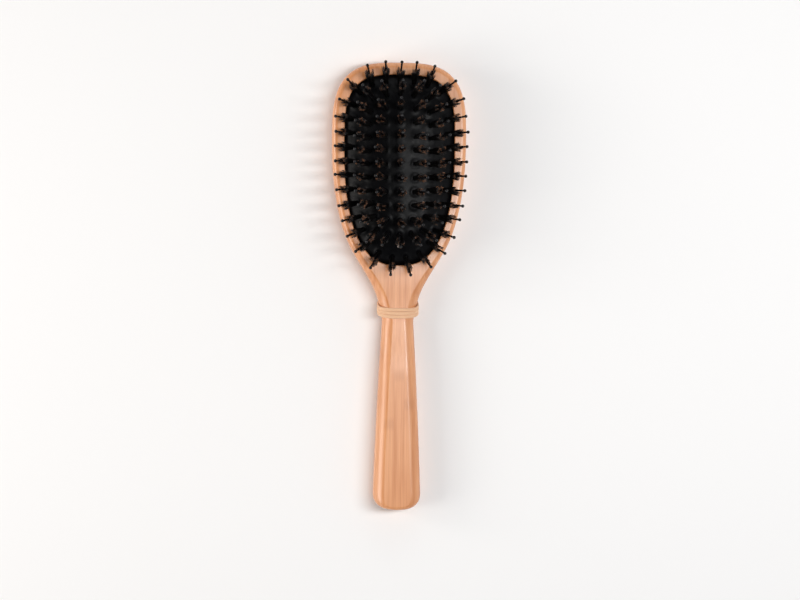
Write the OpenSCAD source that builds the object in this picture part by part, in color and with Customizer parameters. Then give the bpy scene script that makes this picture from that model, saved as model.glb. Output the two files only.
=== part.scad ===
// Paddle hairbrush lying on its back: +X across, +Y towards the head, +Z out of the bristles.
// Stations are measured along the brush from the handle's end; y = station - brush_len / 2.

/* [Board] */
// Overall length, from the handle's end to the top of the head
brush_len = 240; // [236:1:246]
// Width of the head at its widest
head_w = 72; // [70:0.5:76]
// Width of the handle near its end
handle_w = 25.7; // [23:0.1:28]
// Width of the neck at its narrowest
neck_w = 16.7; // [15:0.1:19]
// Thickness of the board at the head
head_t = 13; // [12:0.5:15]
// Thickness of the board at the handle
handle_t = 14; // [12:0.5:16]
// How much the back of the neck is hollowed
neck_relief = 1.8; // [1.5:0.1:2.4]

/* [Cushion] */
// Width of the rubber cushion
cushion_w = 58.4; // [54:0.1:60]
// Length of the rubber cushion
cushion_len = 101.5; // [98:0.5:104]
// Thickness of the rubber
rubber_t = 1.3; // [1:0.1:1.6]
// Height of the cushion's crown above its edge
crown_h = 9.8; // [8:0.1:11]
// Depth of the recess under the cushion
recess_d = 7; // [6.5:0.1:8]
// Radius of the vent hole
vent_r = 1.4; // [1:0.1:1.8]

/* [Tufts] */
// Length of a nylon pin above the rubber, to the middle of its ball
pin_len = 18; // [15:0.5:19]
// Length of the boar bristles above the rubber
bristle_len = 11.8; // [9:0.1:13]
// Spacing of the columns of tufts
column_pitch = 8.2; // [7.8:0.1:8.6]
// Spacing of the rows of tufts
row_pitch = 7.5; // [7:0.1:7.6]
// Tufts in the ring round the cushion's edge
ring_count = 33; // [27:2:35]
// Lean of the outermost pins, in degrees
edge_lean = 33; // [24:1:33]

/* [Neck band] */
// Width of the band along the neck
band_w = 5.4; // [4:0.1:7]
// Thickness of the band
band_t = 0.9; // [0.7:0.1:1.2]
// How far the band stands off each side of the neck
band_slack = 2; // [0.5:0.1:2.5]
// How far the band's front hangs towards the handle, per millimetre of height
band_hang = 0.46; // [0:0.02:0.5]

/* [Hidden] */
ROWS = 11;
COLUMNS = 5;
PIN_ROWS = [for (r = [1:ROWS]) str("pin_row_", r < 10 ? "0" : "", r)];
BRISTLE_ROWS = [for (r = [1:ROWS]) str("bristle_row_", r < 10 ? "0" : "", r)];

// Board outline: handle, neck, shoulder and egg-shaped head
end_len = 9.5;                    // length of the handle's rounded end
neck_at = 102;                    // station of the narrowest part of the neck
neck_flare = 0.23;                // half-width gained per millimetre above the neck
shoulder_from = 112;
shoulder_to = 145;
shoulder_slope = 0.405;           // slope of the head's side where the shoulder meets it
head_mid = brush_len - 41;        // station of the head's widest part
head_up = brush_len - head_mid;
head_down = 78.5;
board_end_w = 1.6;                // half-width at which the outline closes on the axis

// Board edges
back_round = 3.2;
head_bevel = 3;
handle_bevel_w = 5;
handle_bevel_h = 5.5;
handle_end_bevel = 1.6;
neck_span = 30;                   // half the length of the hollowed neck
front_relief = 0.8;               // share of the neck's hollow that its front has

// Cushion seat
rim_w = 7;                        // wood left above the top of the cushion
seat_gap = 0.3;                   // room between the rubber and the wood
bead_d = 1.3;                     // how far the rubber bead reaches outwards
bead_h = 1.5;
cushion_top = brush_len - rim_w;
cushion_bottom = cushion_top - cushion_len;
cushion_mid = (cushion_top + cushion_bottom) / 2;
bead_top = head_t - 2;            // height of the cushion's edge
bead_bottom = bead_top - bead_h;
vent_drop = 5.8;                  // vent hole below the last row of tufts

// Tufts
ring_inset = 3.9;                 // ring of tufts, inside the cushion's edge
first_row_drop = 10.4;            // first row below the top of the cushion
row_arch = 0.8;                   // how far an end row bows, per column squared
pin_r = 0.55;
ball_r = 0.9;
foot_r = 1.6;
foot_h = 0.8;
tuft_hole_r = 0.75;
tuft_root_r = 1.35;
tuft_tip_r = 2.1;
middle_row = (ROWS + 1) / 2;
end_lean = 2.6;                   // how late the rows start to lean towards the cushion's ends
band_at = neck_at + 6.2;          // station of the middle of the band's sides
centre = brush_len / 2;           // station of the origin

function smax(a, b, k) = let (h = max(k - abs(a - b), 0) / k) max(a, b) + h * h * k / 4;
function smooth(x) = let (t = min(max(x, 0), 1)) t * t * (3 - 2 * t);
function hermite(t, a, slope_a, b, slope_b) =
    (2 * pow(t, 3) - 3 * t * t + 1) * a + (pow(t, 3) - 2 * t * t + t) * slope_a
    + (3 * t * t - 2 * pow(t, 3)) * b + (pow(t, 3) - t * t) * slope_b;

// Half-width of an egg that is widest at mid, with its own roundness above and below
function egg(s, half_w, mid, up, down, round_up, round_down) =
    let (u = s > mid ? (s - mid) / up : (mid - s) / down, n = s > mid ? round_up : round_down)
    u >= 1 ? 0 : half_w * pow(1 - pow(u, n), 1 / n);
function head_hw(s) = egg(s, head_w / 2, head_mid, head_up, head_down, 3.2, 2.2);
function grip_hw(s) = smax(handle_w / 2 - (handle_w - neck_w) / 2 * pow(s / neck_at, 1.3),
                           neck_w / 2 + neck_flare * (s - neck_at), 0.6);
function end_round(s) = s >= end_len ? 1 : pow(1 - pow(1 - s / end_len, 2.5), 1 / 2.5);
function shoulder_hw(s) =
    let (span = shoulder_to - shoulder_from)
    hermite((s - shoulder_from) / span, grip_hw(shoulder_from), neck_flare * span,
            head_hw(shoulder_to), shoulder_slope * span);
function board_hw(s) = max(board_end_w,
    s < shoulder_from ? grip_hw(s) * end_round(s) : s < shoulder_to ? shoulder_hw(s) : head_hw(s));
function cushion_hw(s) = max(board_end_w,
    egg(s, cushion_w / 2, head_mid, cushion_top - head_mid, head_mid - cushion_bottom, 3.2, 2.6));

// Outlines as [half-width, station] points up the right-hand side
BOARD_STATIONS = concat([for (i = [0:7]) end_len * pow(i / 8, 2.2)],
                        [for (i = [0:8]) end_len + (92 - end_len) * i / 8],
                        [for (s = [96:4:148]) s],
                        [for (s = [154:9:head_mid - 4]) s],
                        [for (i = [0:15]) brush_len - head_up * pow(1 - i / 15, 2.7)]);
CUSHION_STATIONS =
    concat([for (i = [0:15]) cushion_bottom + (head_mid - cushion_bottom) * pow(i / 16, 2.3)],
           [for (i = [0:12]) cushion_top - (cushion_top - head_mid) * pow(1 - i / 12, 2.6)]);
BOARD_SIDE = [for (s = BOARD_STATIONS) [board_hw(s), s]];
CUSHION_SIDE = [for (s = CUSHION_STATIONS) [cushion_hw(s), s]];

function unit(v) = v / norm(v);
function normal_at(side, i) =
    i == 0 ? [0, -1] : i == len(side) - 1 ? [0, 1]
    : let (d = side[i + 1] - side[i - 1]) unit([d[1], -d[0]]);
function grown(side, d) = [for (i = [0:len(side) - 1]) side[i] + d * normal_at(side, i)];
function to_y(p) = [p[0], p[1] - centre];
function loop(side) = let (n = len(side))
    concat([for (p = side) to_y(p)], [for (i = [n - 1:-1:0]) to_y([-side[i][0], side[i][1]])]);

// Board section: thickness, hollowed neck and edge roundings at a station
function neck_hollow(s) =
    abs(s - neck_at) >= neck_span ? 0 : pow(cos(90 * (s - neck_at) / neck_span), 2);
function to_head(s) = smooth((s - neck_at) / (shoulder_to - neck_at));
function back_z(s) = neck_relief * neck_hollow(s);
function front_z(s) =
    handle_t + (head_t - handle_t) * to_head(s) - front_relief * neck_relief * neck_hollow(s);
function bevel_w(s) = handle_bevel_w + (head_bevel - handle_bevel_w) * to_head(s);
function bevel_h(s) = handle_bevel_h + (head_bevel - handle_bevel_h) * to_head(s);
function bevel_end(s) = handle_end_bevel + (head_bevel - handle_end_bevel) * to_head(s);
EDGE_STEPS = [0, 30, 60, 90];
function back_layer(side, a) = [for (i = [0:len(side) - 1])
    let (s = side[i][1], n = normal_at(side, i), in = 1 - sin(a))
    [side[i][0] - n[0] * back_round * in, s - n[1] * min(back_round, bevel_end(s)) * in,
     back_z(s) + back_round * (1 - cos(a))]];
function front_layer(side, a) = [for (i = [0:len(side) - 1])
    let (s = side[i][1], n = normal_at(side, i), in = 1 - cos(a))
    [side[i][0] - n[0] * bevel_w(s) * in, s - n[1] * bevel_end(s) * in,
     front_z(s) - bevel_h(s) * (1 - sin(a))]];
function around(layer) = let (n = len(layer))
    concat([for (p = layer) [p[0], p[1] - centre, p[2]]],
           [for (i = [n - 1:-1:0]) [-layer[i][0], layer[i][1] - centre, layer[i][2]]]);

// Height of the cushion's surface, and a tuft's lean over it
function rise_along(s) = 1 - pow(min(abs(s - cushion_mid) / (cushion_len / 2), 1), 3.4);
function dome_z(x, s) =
    bead_top + crown_h * rise_along(s) * (1 - pow(min(abs(x) / cushion_hw(s), 1), 2));

// Ring of tufts: equal steps along a line inside the cushion's edge, from the head's top
RING_SIDE = let (side = grown(CUSHION_SIDE, -ring_inset), n = len(side))
    [for (i = [n - 1:-1:0]) [i == 0 || i == n - 1 ? 0 : max(side[i][0], 0), side[i][1]]];
function run_length(pts, i) = i == 0 ? 0 : run_length(pts, i - 1) + norm(pts[i] - pts[i - 1]);
RING_RUN = [for (i = [0:len(RING_SIDE) - 1]) run_length(RING_SIDE, i)];
RING_X = [for (i = [0:len(RING_SIDE) - 1]) [RING_RUN[i], RING_SIDE[i][0]]];
RING_S = [for (i = [0:len(RING_SIDE) - 1]) [RING_RUN[i], RING_SIDE[i][1]]];
ring_half = RING_RUN[len(RING_RUN) - 1];
function ring_point(run) = [lookup(run, RING_X), lookup(run, RING_S)];
function ring_root(k) = let (run = 2 * ring_half * k / ring_count, right = run <= ring_half,
                             p = ring_point(right ? run : 2 * ring_half - run))
    [right ? p[0] : -p[0], p[1]];
function ring_lean(k) = let (run = 2 * ring_half * k / ring_count, right = run <= ring_half,
                             r = right ? run : 2 * ring_half - run,
                             d = ring_point(min(r + 1, ring_half)) - ring_point(max(r - 1, 0)),
                             out = unit([-d[1], d[0]]) * sin(edge_lean))
    [right ? out[0] : -out[0], out[1]];
RING_TUFTS = [for (k = [0:ring_count - 1]) concat(ring_root(k), ring_lean(k))];

// Rows of tufts: five columns that close up and bow towards the ends of the cushion
function row_station(r) = cushion_top - first_row_drop - (r - 1) * row_pitch;
function row_spread(s) = (cushion_hw(s) - ring_inset) / (cushion_w / 2 - ring_inset);
function row_root(r, c) = let (s = row_station(r), k = (middle_row - r) / middle_row)
    [c * column_pitch * row_spread(s), s - row_arch * c * c * k];
function row_lean(r, c) =
    let (k = (middle_row - r) / middle_row,
         end = pow(abs(k), end_lean),
         side = (1 - pow(1 - abs(c) / 3, 2)) * (1 - 0.45 * end))
    [sign(c) * sin(edge_lean * side), sign(k) * sin(edge_lean * end)];
function row_tufts(r) =
    [for (c = [-(COLUMNS - 1) / 2:(COLUMNS - 1) / 2]) concat(row_root(r, c), row_lean(r, c))];

// A solid of the right-hand half-outline's layers, joined side to side
module lofted(layers) {
    n = len(layers[0]);
    half = n / 2;
    last = len(layers) - 1;
    sides = [for (j = [0:last - 1]) for (i = [0:n - 1])
        [j * n + i, (j + 1) * n + i, (j + 1) * n + (i + 1) % n, j * n + (i + 1) % n]];
    back = [for (i = [0:half - 2]) [i, i + 1, n - 2 - i, n - 1 - i]];
    front = [for (i = [0:half - 2]) [for (k = [3:-1:0]) last * n + back[i][k]]];
    polyhedron(points = [for (layer = layers) each layer],
               faces = concat(back, sides, front), convexity = 6);
}

module board_blank() {
    lofted(concat([for (a = EDGE_STEPS) around(back_layer(BOARD_SIDE, a))],
                  [for (a = EDGE_STEPS) around(front_layer(BOARD_SIDE, a))]));
}

module cushion_prism(grow, bottom, top) {
    translate([0, 0, bottom]) linear_extrude(top - bottom) polygon(loop(grown(CUSHION_SIDE, grow)));
}

module paddle_board() {
    color("burlywood") difference() {
        board_blank();
        cushion_prism(seat_gap, head_t - recess_d, head_t + 5);
        cushion_prism(seat_gap + bead_d, bead_bottom - seat_gap, bead_top + seat_gap);
    }
}

// The rubber dome: a shell of even height whose edge carries the bead
module rubber_dome() {
    steps = 8;
    n = 2 * steps + 1;
    rows = len(CUSHION_SIDE);
    function point(i, j, drop) =
        let (s = CUSHION_SIDE[i][1], x = CUSHION_SIDE[i][0] * sin(90 * (j - steps) / steps))
        [x, s - centre, dome_z(x, s) - drop];
    outer = [for (i = [0:rows - 1]) for (j = [0:n - 1]) point(i, j, 0)];
    inner = [for (i = [0:rows - 1]) for (j = [0:n - 1]) point(i, j, rubber_t)];
    m = rows * n;
    rim = concat([for (j = [0:n - 1]) j], [for (i = [1:rows - 1]) i * n + n - 1],
                 [for (j = [n - 2:-1:0]) (rows - 1) * n + j], [for (i = [rows - 2:-1:1]) i * n]);
    function tile(i, j) = [i * n + j, (i + 1) * n + j, (i + 1) * n + j + 1, i * n + j + 1];
    top = [for (i = [0:rows - 2]) for (j = [0:n - 2]) for (t = [[0, 1, 2], [0, 2, 3]])
        [for (k = t) tile(i, j)[k]]];
    under = [for (f = top) [f[2] + m, f[1] + m, f[0] + m]];
    wall = [for (k = [0:len(rim) - 1]) let (a = rim[k], b = rim[(k + 1) % len(rim)])
        for (t = [[b, a, a + m], [b, a + m, b + m]]) t];
    polyhedron(points = concat(outer, inner), faces = concat(top, under, wall), convexity = 4);
}

module cushion_membrane() {
    color("dimgray") difference() {
        union() {
            rubber_dome();
            difference() {
                cushion_prism(bead_d, bead_bottom, bead_top);
                cushion_prism(-0.8, bead_bottom - 1, bead_top + 1);
            }
        }
        translate([0, row_station(ROWS) - vent_drop - centre, bead_bottom - 1])
            cylinder(h = 2 * crown_h, r = vent_r, $fn = 32);
    }
}

// Places its child on the cushion at [x, station, lean across, lean along]
module on_cushion(t) {
    lean = [t[2], t[3]];
    translate([t[0], t[1] - centre, dome_z(t[0], t[1])])
        rotate([0, asin(min(norm(lean), sin(edge_lean + 2))), atan2(t[3], t[2])]) children();
}

module pin() {
    translate([0, 0, -rubber_t - foot_h]) cylinder(h = foot_h, r = foot_r, $fn = 24);
    translate([0, 0, -rubber_t - foot_h / 2])
        cylinder(h = pin_len + rubber_t + foot_h / 2, r = pin_r, $fn = 24);
    translate([0, 0, pin_len]) sphere(r = ball_r, $fn = 24);
}

module bristle_tuft() {
    sunk = 0.2 - rubber_t;
    rotate_extrude($fn = 24) polygon([
        [tuft_hole_r, sunk], [tuft_root_r, sunk], [tuft_root_r, 1], [tuft_tip_r, bristle_len - 0.8],
        [(tuft_tip_r + tuft_hole_r) / 2, bristle_len], [tuft_hole_r, bristle_len - 0.6]]);
}

module pins(tufts) {
    color("black") for (t = tufts) on_cushion(t) pin();
}

module bristles(tufts) {
    color("saddlebrown") for (t = tufts) on_cushion(t) bristle_tuft();
}

// A flat elastic loop round the neck, lower at its front than at its back
module neck_band() {
    low = back_z(band_at);
    high = front_z(band_at);
    steps = 36;
    section = [[0, -1], [band_t, -1], [band_t, 1], [0, 1]];
    function squarish(v) = sign(v) * pow(abs(v), 0.7);
    function corner(a, grow, edge) = let (z = ((high - low) / 2 + grow) * squarish(sin(a)))
        [(neck_w / 2 + band_slack + grow) * squarish(cos(a)),
         band_at - centre + edge * band_w / 2 - band_hang * z, (low + high) / 2 + z];
    points = [for (i = [0:steps - 1]) for (c = section) corner(360 * i / steps, c[0], c[1])];
    faces = [for (i = [0:steps - 1]) for (k = [0:3]) let (j = (i + 1) % steps, l = (k + 1) % 4)
        [4 * i + k, 4 * j + k, 4 * j + l, 4 * i + l]];
    color("tan") polyhedron(points = points, faces = faces, convexity = 4);
}

paddle_board();
cushion_membrane();
neck_band();
pins(RING_TUFTS);  // pin_ring
bristles(RING_TUFTS);  // bristle_ring
for (r = [1:ROWS]) {
    pins(row_tufts(r));
    bristles(row_tufts(r));
}
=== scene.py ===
"""Looks of a bamboo paddle hairbrush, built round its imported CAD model.

The board, the cushion and the elastic loop are lofted from the brush's own outline. The pins and the
bristles are planted by Geometry Nodes, at the roots and leans of the CAD pins. Sizes are in millimetres
and turn to metres where a mesh is made. A station is a distance along the brush from the handle's end.
"""
import logging
import math
import random
from dataclasses import dataclass, field
from enum import Enum
from typing import Any

import bmesh
import bpy
import numpy as np
from mathutils import Matrix, Vector


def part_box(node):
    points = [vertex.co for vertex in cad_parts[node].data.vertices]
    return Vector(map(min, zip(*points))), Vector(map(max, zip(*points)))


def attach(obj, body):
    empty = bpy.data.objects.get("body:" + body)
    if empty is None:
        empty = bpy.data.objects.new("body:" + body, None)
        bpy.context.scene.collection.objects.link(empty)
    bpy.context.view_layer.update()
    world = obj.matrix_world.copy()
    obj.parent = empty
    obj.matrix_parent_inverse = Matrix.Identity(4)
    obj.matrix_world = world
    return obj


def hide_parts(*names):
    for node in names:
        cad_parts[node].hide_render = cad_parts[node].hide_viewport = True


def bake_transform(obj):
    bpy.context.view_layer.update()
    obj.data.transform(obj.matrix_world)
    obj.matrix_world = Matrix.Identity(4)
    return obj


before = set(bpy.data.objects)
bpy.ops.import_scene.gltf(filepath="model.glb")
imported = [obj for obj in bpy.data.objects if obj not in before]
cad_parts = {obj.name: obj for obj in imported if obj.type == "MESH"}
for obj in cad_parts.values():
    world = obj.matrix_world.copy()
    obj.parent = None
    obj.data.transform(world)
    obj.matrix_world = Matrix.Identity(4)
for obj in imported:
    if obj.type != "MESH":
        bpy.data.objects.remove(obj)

MM = 0.001
LOG = logging.getLogger("hairbrush")
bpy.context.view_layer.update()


class Body(Enum):
    """The brush's two CAD bodies."""

    HANDLE = "handle"
    PIN_FIELD = "pin_field"


class Slot(Enum):
    """The record's material slots."""

    BAMBOO = "bamboo"
    RUBBER = "cushion_rubber"
    ELASTIC = "elastic"
    NYLON = "nylon"
    BRISTLE = "boar_bristle"


# ---------------------------------------------------------------- small tools


def colour(code: str) -> tuple[float, float, float, float]:
    """Turns an sRGB hex colour into linear RGBA.

    Args:
        code: six hex digits after a hash.

    Returns:
        Linear red, green, blue and an alpha of 1.
    """
    parts = [int(code[i:i + 2], 16) / 255 for i in (1, 3, 5)]
    return (*[c / 12.92 if c <= 0.04045 else ((c + 0.055) / 1.055) ** 2.4 for c in parts], 1.0)


def add_node(tree: bpy.types.NodeTree, kind: str, inputs: dict[Any, Any] | None = None,
             **settings: Any) -> bpy.types.Node:
    """Adds a node to a tree.

    Args:
        tree: the tree that the node goes into.
        kind: the node's type name.
        inputs: values, output sockets or nodes, by the input's name or number. A node stands for its
            first output.
        settings: the node's own properties.

    Returns:
        The new node.
    """
    made = tree.nodes.new(kind)
    for name, value in settings.items():
        setattr(made, name, value)
    for key, value in (inputs or {}).items():
        if isinstance(value, bpy.types.Node):
            value = value.outputs[0]
        if isinstance(value, bpy.types.NodeSocket):
            tree.links.new(value, made.inputs[key])
        else:
            made.inputs[key].default_value = value
    return made


def set_ramp(node: bpy.types.Node, stops: list[tuple[float, str]]) -> None:
    """Gives a Color Ramp node its stops.

    Args:
        node: the Color Ramp node.
        stops: each stop's place and its sRGB hex colour.
    """
    elements = node.color_ramp.elements
    while len(elements) < len(stops):
        elements.new(1.0)
    for element, (place, code) in zip(elements, stops):
        element.position = place
        element.color = colour(code)


def mesh_piece(name: str, points: Any, faces: list[tuple[int, ...]],
               material: bpy.types.Material | None = None) -> bpy.types.Object:
    """Makes a smooth-shaded object from points in millimetres, its faces turned outwards.

    Args:
        name: the object's name.
        points: x, y, z rows in millimetres.
        faces: point numbers of each face.
        material: the finish, if it has one.

    Returns:
        The object, linked to the scene.
    """
    mesh = bpy.data.meshes.new(name)
    mesh.from_pydata((np.asarray(points, float) * MM).tolist(), [], faces)
    form = bmesh.new()
    form.from_mesh(mesh)
    bmesh.ops.recalc_face_normals(form, faces=form.faces)
    form.to_mesh(mesh)
    form.free()
    mesh.shade_smooth()
    if material:
        mesh.materials.append(material)
    made = bpy.data.objects.new(name, mesh)
    bpy.context.scene.collection.objects.link(made)
    return made


def settle(piece: bpy.types.Object) -> bpy.types.Object:
    """Replaces a piece's mesh and modifiers with the plain mesh that they make.

    Args:
        piece: an object with live modifiers.

    Returns:
        The same object, with no modifiers.
    """
    graph = bpy.context.evaluated_depsgraph_get()
    mesh = bpy.data.meshes.new_from_object(piece.evaluated_get(graph), depsgraph=graph)
    piece.modifiers.clear()
    piece.data = mesh
    return piece


def even_shading(piece: bpy.types.Object, sharp_angle: float) -> bpy.types.Object:
    """Keeps flat faces flat and blends their rounded edges.

    Args:
        piece: a smooth-shaded piece.
        sharp_angle: edges that turn more than this many degrees stay sharp.

    Returns:
        The piece, with its normals weighted by face area.
    """
    piece.data.set_sharp_from_angle(angle=math.radians(sharp_angle))
    weighted = piece.modifiers.new("weighted_normals", "WEIGHTED_NORMAL")
    weighted.keep_sharp = True
    return settle(piece)


def remove_tool(tool: bpy.types.Object) -> None:
    """Removes an object that was only a tool, such as a cutter or an instanced shape."""
    bpy.data.objects.remove(tool, do_unlink=True)


def carve(piece: bpy.types.Object, cutter: bpy.types.Object) -> None:
    """Cuts a cutter's shape out of a piece.

    Args:
        piece: the closed solid that is cut.
        cutter: the closed solid that is cut away. It is removed.
    """
    cut = piece.modifiers.new(cutter.name, "BOOLEAN")
    cut.operation, cut.solver, cut.object = "DIFFERENCE", "EXACT", cutter
    settle(piece)
    remove_tool(cutter)


def install(piece: bpy.types.Object, body: Body, slot: Slot, *nodes: str) -> None:
    """Puts a finished piece on its body in place of its CAD nodes.

    Args:
        piece: the finished piece.
        body: the CAD body that it rides on.
        slot: the record's material slot of its finish. Not used.
        nodes: the CAD nodes that it stands for.
    """
    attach(piece, body.value)
    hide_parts(*nodes)
    LOG.info("%s: %d faces on %s", piece.name, len(piece.data.polygons), body.value)


# ---------------------------------------------------------------- finishes


@dataclass(frozen=True)
class Finish:
    """A surface finish. Each kind of finish draws its own nodes in dress."""

    name: str

    def dress(self, tree: bpy.types.NodeTree, shader: bpy.types.Node) -> None:
        """Fills the shader's sockets; each finish has its own.

        Args:
            tree: the material's node tree.
            shader: its Principled BSDF.
        """
        raise NotImplementedError

    def material(self) -> bpy.types.Material:
        """Makes the finish's material.

        Returns:
            A node material named for the finish.
        """
        made = bpy.data.materials.new(self.name)
        made.use_nodes = True
        self.dress(made.node_tree, made.node_tree.nodes["Principled BSDF"])
        return made


@dataclass(frozen=True)
class LacqueredBamboo(Finish):
    """Edge-glued bamboo strips, sanded and sprayed with a thin satin lacquer.

    The eye sees warm strips of slightly different tone, fine fibres that run along the brush, a darker
    knuckle here and there, and a soft gloss along the edges. A pair of sizes is a fleck's width and
    length. A tone is how strongly its pattern moves the colour from pale to deep.
    """

    name: str = "lacquered_bamboo"
    pale: str = "#E5A371"
    deep: str = "#BE7037"
    knuckle: str = "#A9683A"
    strip_width: float = 5.4
    strip_shift: float = 40.37
    fibre: tuple[float, float] = (0.3, 16.0)
    streak: tuple[float, float] = (1.5, 70.0)
    cloud: tuple[float, float] = (16.0, 45.0)
    strip_tone: float = 0.26
    streak_tone: float = 1.5
    fibre_tone: float = 0.5
    cloud_tone: float = 0.6
    tone_start: float = -1.0
    knuckle_spacing: float = 300.0
    knuckle_shift: float = 0.508
    knuckle_height: float = 3.0
    knuckle_waver: float = 0.012
    knuckle_strength: float = 0.22
    glue_width: float = 0.135
    glue_strength: float = 0.3
    roughness: float = 0.4
    fibre_gloss: float = 0.12
    relief: float = 0.04
    coat: float = 0.65
    coat_roughness: float = 0.24

    def grain(self, tree: bpy.types.NodeTree, place: bpy.types.NodeSocket, size: tuple[float, float],
              detail: float) -> bpy.types.Node:
        """Noise drawn out along the brush.

        Args:
            tree: the material's tree.
            place: object coordinates in metres.
            size: width and length of a fleck in millimetres, across and along the brush.
            detail: how many finer layers it has.

        Returns:
            A node whose first output is the noise, around 0.5.
        """
        width, length = (1 / (side * MM) for side in size)
        drawn = add_node(tree, "ShaderNodeVectorMath", {0: place, 1: (width, length, width)},
                         operation="MULTIPLY")
        return add_node(tree, "ShaderNodeTexNoise",
                        {"Vector": drawn, "Scale": 1.0, "Detail": detail, "Roughness": 0.6})

    def knuckles(self, tree: bpy.types.NodeTree, along: bpy.types.NodeSocket, lot: bpy.types.Node,
                 streak: bpy.types.Node) -> bpy.types.Node:
        """Darker bands where the bamboo's joints were, at a place of its own on each strip.

        Args:
            tree: the material's tree.
            along: distance along the brush in metres.
            lot: each strip's own random number.
            streak: noise that makes the bands' edges waver.

        Returns:
            A node whose first output is the bands' strength.
        """
        start = add_node(tree, "ShaderNodeMath", {0: lot, 1: self.knuckle_shift}, operation="ADD")
        turns = add_node(tree, "ShaderNodeMath", {0: along, 1: 1 / (self.knuckle_spacing * MM), 2: start},
                         operation="MULTIPLY_ADD")
        turns = add_node(tree, "ShaderNodeMath", {0: streak, 1: self.knuckle_waver, 2: turns},
                         operation="MULTIPLY_ADD")
        turn = add_node(tree, "ShaderNodeMath", {0: turns}, operation="FRACT")
        shift = add_node(tree, "ShaderNodeMath", {0: turn, 1: 0.5}, operation="SUBTRACT")
        off = add_node(tree, "ShaderNodeMath", {0: shift}, operation="ABSOLUTE")
        band = self.knuckle_height / self.knuckle_spacing
        return add_node(tree, "ShaderNodeMapRange",
                        {"Value": off, "From Min": band * 0.25, "From Max": band * 1.6,
                         "To Min": self.knuckle_strength, "To Max": 0.0},
                        interpolation_type="SMOOTHSTEP")

    def glue_lines(self, tree: bpy.types.NodeTree, across: bpy.types.Node) -> bpy.types.Node:
        """The thin dark lines between the strips.

        Args:
            tree: the material's tree.
            across: distance across the brush, in strips.

        Returns:
            A node whose first output is the lines' strength.
        """
        within = add_node(tree, "ShaderNodeMath", {0: across}, operation="FRACT")
        shift = add_node(tree, "ShaderNodeMath", {0: within, 1: 0.5}, operation="SUBTRACT")
        off = add_node(tree, "ShaderNodeMath", {0: shift}, operation="ABSOLUTE")
        return add_node(tree, "ShaderNodeMapRange",
                        {"Value": off, "From Min": 0.5 - self.glue_width / self.strip_width,
                         "From Max": 0.5, "To Min": 0.0, "To Max": self.glue_strength},
                        interpolation_type="SMOOTHSTEP")

    def dress(self, tree: bpy.types.NodeTree, shader: bpy.types.Node) -> None:
        """Draws the strips, fibres, knuckles and lacquer.

        Args:
            tree: the material's node tree.
            shader: its Principled BSDF.
        """
        place = add_node(tree, "ShaderNodeTexCoord").outputs["Object"]
        split = add_node(tree, "ShaderNodeSeparateXYZ", {0: place})
        fibre = self.grain(tree, place, self.fibre, 2.0)
        streak = self.grain(tree, place, self.streak, 3.0)
        cloud = self.grain(tree, place, self.cloud, 2.0)

        # Each strip has its own number, and from it its tone and the place of its knuckles
        across = add_node(tree, "ShaderNodeMath",
                          {0: split.outputs["X"], 1: 1 / (self.strip_width * MM), 2: self.strip_shift},
                          operation="MULTIPLY_ADD")
        strip = add_node(tree, "ShaderNodeMath", {0: across}, operation="FLOOR")
        lot = add_node(tree, "ShaderNodeTexWhiteNoise", {"W": strip}, noise_dimensions="1D")
        tone: Any = self.tone_start
        for source, weight in ((lot, self.strip_tone), (streak, self.streak_tone),
                               (fibre, self.fibre_tone), (cloud, self.cloud_tone)):
            tone = add_node(tree, "ShaderNodeMath", {0: source, 1: weight, 2: tone},
                            operation="MULTIPLY_ADD")
        wood = add_node(tree, "ShaderNodeValToRGB", {0: tone})
        set_ramp(wood, [(0.0, self.pale), (1.0, self.deep)])
        dark = add_node(tree, "ShaderNodeMath",
                        {0: self.knuckles(tree, split.outputs["Y"], lot, streak),
                         1: self.glue_lines(tree, across)}, operation="MAXIMUM")
        tinted = add_node(tree, "ShaderNodeMix", {0: dark, 6: wood, 7: colour(self.knuckle)},
                          data_type="RGBA")
        tree.links.new(tinted.outputs[2], shader.inputs["Base Color"])

        # Denser fibre takes the lacquer a little more matt and stands proud of the strips' joints
        gloss = add_node(tree, "ShaderNodeMath",
                         {0: fibre, 1: self.fibre_gloss, 2: self.roughness - self.fibre_gloss / 2},
                         operation="MULTIPLY_ADD")
        tree.links.new(gloss.outputs[0], shader.inputs["Roughness"])
        sunk = add_node(tree, "ShaderNodeMath", {0: dark, 1: 0.6}, operation="MULTIPLY")
        height = add_node(tree, "ShaderNodeMath", {0: fibre, 1: sunk}, operation="SUBTRACT")
        bump = add_node(tree, "ShaderNodeBump",
                        {"Height": height, "Strength": 0.35, "Distance": self.relief * MM})
        tree.links.new(bump.outputs["Normal"], shader.inputs["Normal"])
        shader.inputs["IOR"].default_value = 1.5
        shader.inputs["Coat Weight"].default_value = self.coat
        shader.inputs["Coat Roughness"].default_value = self.coat_roughness


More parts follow.
